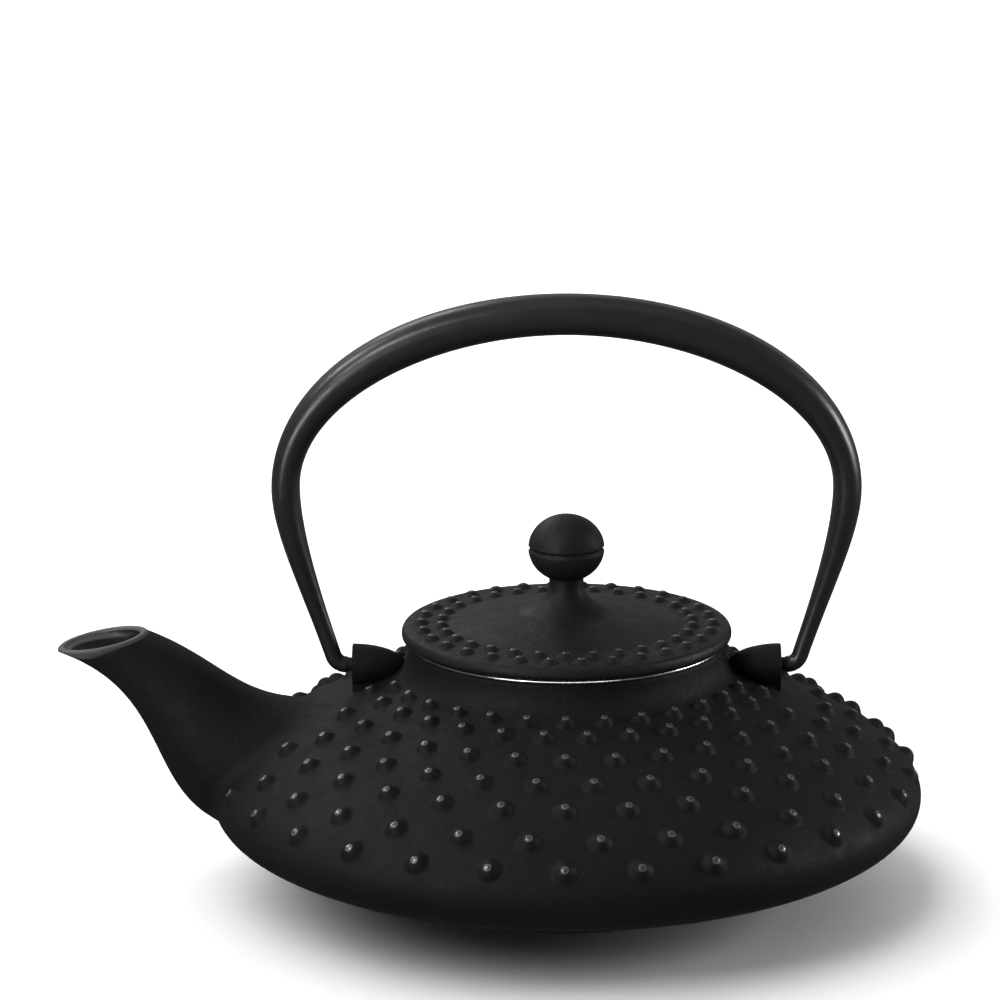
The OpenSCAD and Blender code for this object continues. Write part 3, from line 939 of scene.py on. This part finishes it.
washer_piece = lathe("knob_washer_turned", rounded(
    [(3.4, WASHER_LOW[2]), (5.0, WASHER_LOW[2], 0.25), (5.0, WASHER_HIGH[2], 0.25),
     (2.05, WASHER_HIGH[2], 0.15), (2.05, WASHER_LOW[2], 0.15), (3.3, WASHER_LOW[2])], 0.2), [STEEL], 96)


def build_screw():
    """A slotted screw, head down."""
    low, high = SCREW_LOW[2], SCREW_HIGH[2]
    head = lathe("knob_screw_turned", rounded(
        [(0.0, low), (3.0, low, 1.2), (3.8, low + 0.9, 0.7), (3.8, WASHER_LOW[2], 0.3),
         (2.0, WASHER_LOW[2], 0.2), (2.0, high, 0.4), (0.0, high)], 0.3), [STEEL], 96, finish=False)
    slot = Shell()
    loops = []
    for x in (-4.2, 4.2):
        loops.append([(x, -0.5, low - 1), (x, 0.5, low - 1), (x, 0.5, low + 1.1), (x, -0.5, low + 1.1)])
    ids = slot.stack(loops)
    slot.close(ids[0])
    slot.close(ids[1])
    combine(head, slot.build("slot", [STEEL], False), "DIFFERENCE")
    tidy_mesh(head.data, True, 40)
    return head


screw_piece = build_screw()

for piece, body, node, slot_name in (
        (vessel, "teapot", "body", "iron"),
        (bail, "handle", "handle", "handle_iron"),
        (rim_piece, "strainer", "strainer_rim", "steel"),
        (base_piece, "strainer", "strainer_ring", "steel"),
        (wall_piece, "strainer", "strainer_wall", "mesh"),
        (floor_piece, "strainer", "strainer_floor", "mesh"),
        (lid_piece, "lid", "lid", "iron"),
        (knob_piece, "lid", "knob", "handle_iron"),
        (washer_piece, "lid", "knob_washer", "steel"),
        (screw_piece, "lid", "knob_screw", "steel")):
    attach(piece, body)
    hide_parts(node)

# ---------------------------------------------------------------- floor, light and camera


def build_floor():
    made = bpy.data.materials.new("pale_floor")
    made.use_nodes = True
    shader = made.node_tree.nodes["Principled BSDF"]
    shader.inputs["Base Color"].default_value = (0.93, 0.93, 0.93, 1)
    shader.inputs["Roughness"].default_value = 0.7
    shader.inputs["Specular IOR Level"].default_value = 0.1
    mesh = bpy.data.meshes.new("floor")
    size = 3.0
    corners = [(-size, -size, 0), (size, -size, 0), (size, size, 0), (-size, size, 0)]
    mesh.from_pydata(corners, [], [(0, 1, 2, 3)])
    mesh.materials.append(made)
    obj = bpy.data.objects.new("floor", mesh)
    bpy.context.collection.objects.link(obj)
    obj.visible_glossy = False
    return obj


def area_light(name, place, aim, size, watts, mirrored=True):
    """A rectangle of light. When it isn't mirrored, no surface reflects its outline."""
    data = bpy.data.lights.new(name, "AREA")
    data.shape = "RECTANGLE"
    data.size, data.size_y = size
    data.energy = watts
    obj = bpy.data.objects.new(name, data)
    obj.location = place
    obj.visible_glossy = mirrored
    obj.rotation_euler = (Vector(aim) - Vector(place)).to_track_quat("-Z", "Y").to_euler()
    bpy.context.collection.objects.link(obj)
    return obj


def light_only(name, lights, pieces):
    """Limits lights to some of the pieces."""
    receivers = bpy.data.collections.new(name)
    for piece in pieces:
        receivers.objects.link(piece)
    for light in lights:
        light.light_linking.receiver_collection = receivers


floor = build_floor()
FOOT, POT_MIDDLE = (0, 0, 0), (0, 0, 0.06)
# metres: place, aim, size, then watts
key = area_light("key", (-0.75, -0.6, 1.05), (0, 0, 0.03), (0.3, 0.3), 4.2)
area_light("overhead", (-0.85, 0.1, 1.25), FOOT, (2.5, 2.0), 41, False)
area_light("overhead_sheen", (0.1, 0.0, 1.3), FOOT, (1.2, 0.9), 0.6)
back_left = area_light("back_left", (-0.9, 0.45, 0.95), POT_MIDDLE, (0.25, 0.25), 3)
area_light("back", (-0.4, 1.0, 0.8), POT_MIDDLE, (0.3, 0.3), 1.2)
side_left = area_light("side_left", (-0.8, -1.0, 0.3), (-0.1, 0, 0.05), (0.5, 0.4), 5)
area_light("side_right", (1.1, 0.15, 0.35), POT_MIDDLE, (0.5, 0.4), 6)
area_light("backdrop", (0, 1.6, 0.6), (0, 0, 0.05), (2.6, 0.7), 1.6)
rim_glow = area_light("rim_glow", (0.1, -0.3, 1.2), POT_MIDDLE, (2.2, 1.6), 55)
front_glow = area_light("front_glow", (0, -1.6, 0.5), POT_MIDDLE, (2.2, 0.6), 12)
washes = [area_light(name, (0, y, 1.1), (0, y, 0), (4, 1.2), watts, False)
          for name, y, watts in (("floor_behind", 1.5, 40), ("floor_ahead", -1.6, 8))]
strainer_pieces = (rim_piece, base_piece, wall_piece, floor_piece)
light_only("steel_only", (rim_glow, front_glow), (*strainer_pieces, washer_piece, screw_piece))
light_only("floor_only", washes, (floor,))
light_only("pot_only", (key, back_left, side_left), (vessel, bail, lid_piece, knob_piece, *strainer_pieces))

# the camera sees a brighter world than the surfaces do
world = bpy.data.worlds.new("studio")
bpy.context.scene.world = world
world.use_nodes = True
tree = world.node_tree
back = tree.nodes["Background"]
seen = tree.nodes.new("ShaderNodeLightPath").outputs["Is Camera Ray"]
tree.links.new(spread(tree, seen, 0.1, 1.3, 0, 1), back.inputs["Strength"])
back.inputs["Color"].default_value = (1, 1, 1, 1)

camera = bpy.data.cameras.new("camera")
camera.sensor_width = 36
camera.lens = 173.3
camera.clip_start, camera.clip_end = 0.05, 50
viewer = bpy.data.objects.new("camera", camera)
bpy.context.collection.objects.link(viewer)
ELEVATION, DISTANCE = math.radians(17.04), 1.2
AIM_UP, AIM_RIGHT = 0.055, -0.0138
ROLL = math.radians(-0.27)
target = Vector((0, 0, 0.03))
place = target + Vector((0, -math.cos(ELEVATION), math.sin(ELEVATION))) * DISTANCE
forward = (target - place).normalized()
right = forward.cross(Vector((0, 0, 1))).normalized()
up = right.cross(forward)
look = (forward + AIM_UP * up + AIM_RIGHT * right).normalized()
turn = look.to_track_quat("-Z", "Y").to_matrix().to_4x4()
viewer.matrix_world = Matrix.Translation(place) @ turn @ Matrix.Rotation(ROLL, 4, "Z")
bpy.context.scene.camera = viewer
bpy.context.scene.view_settings.view_transform = "Standard"
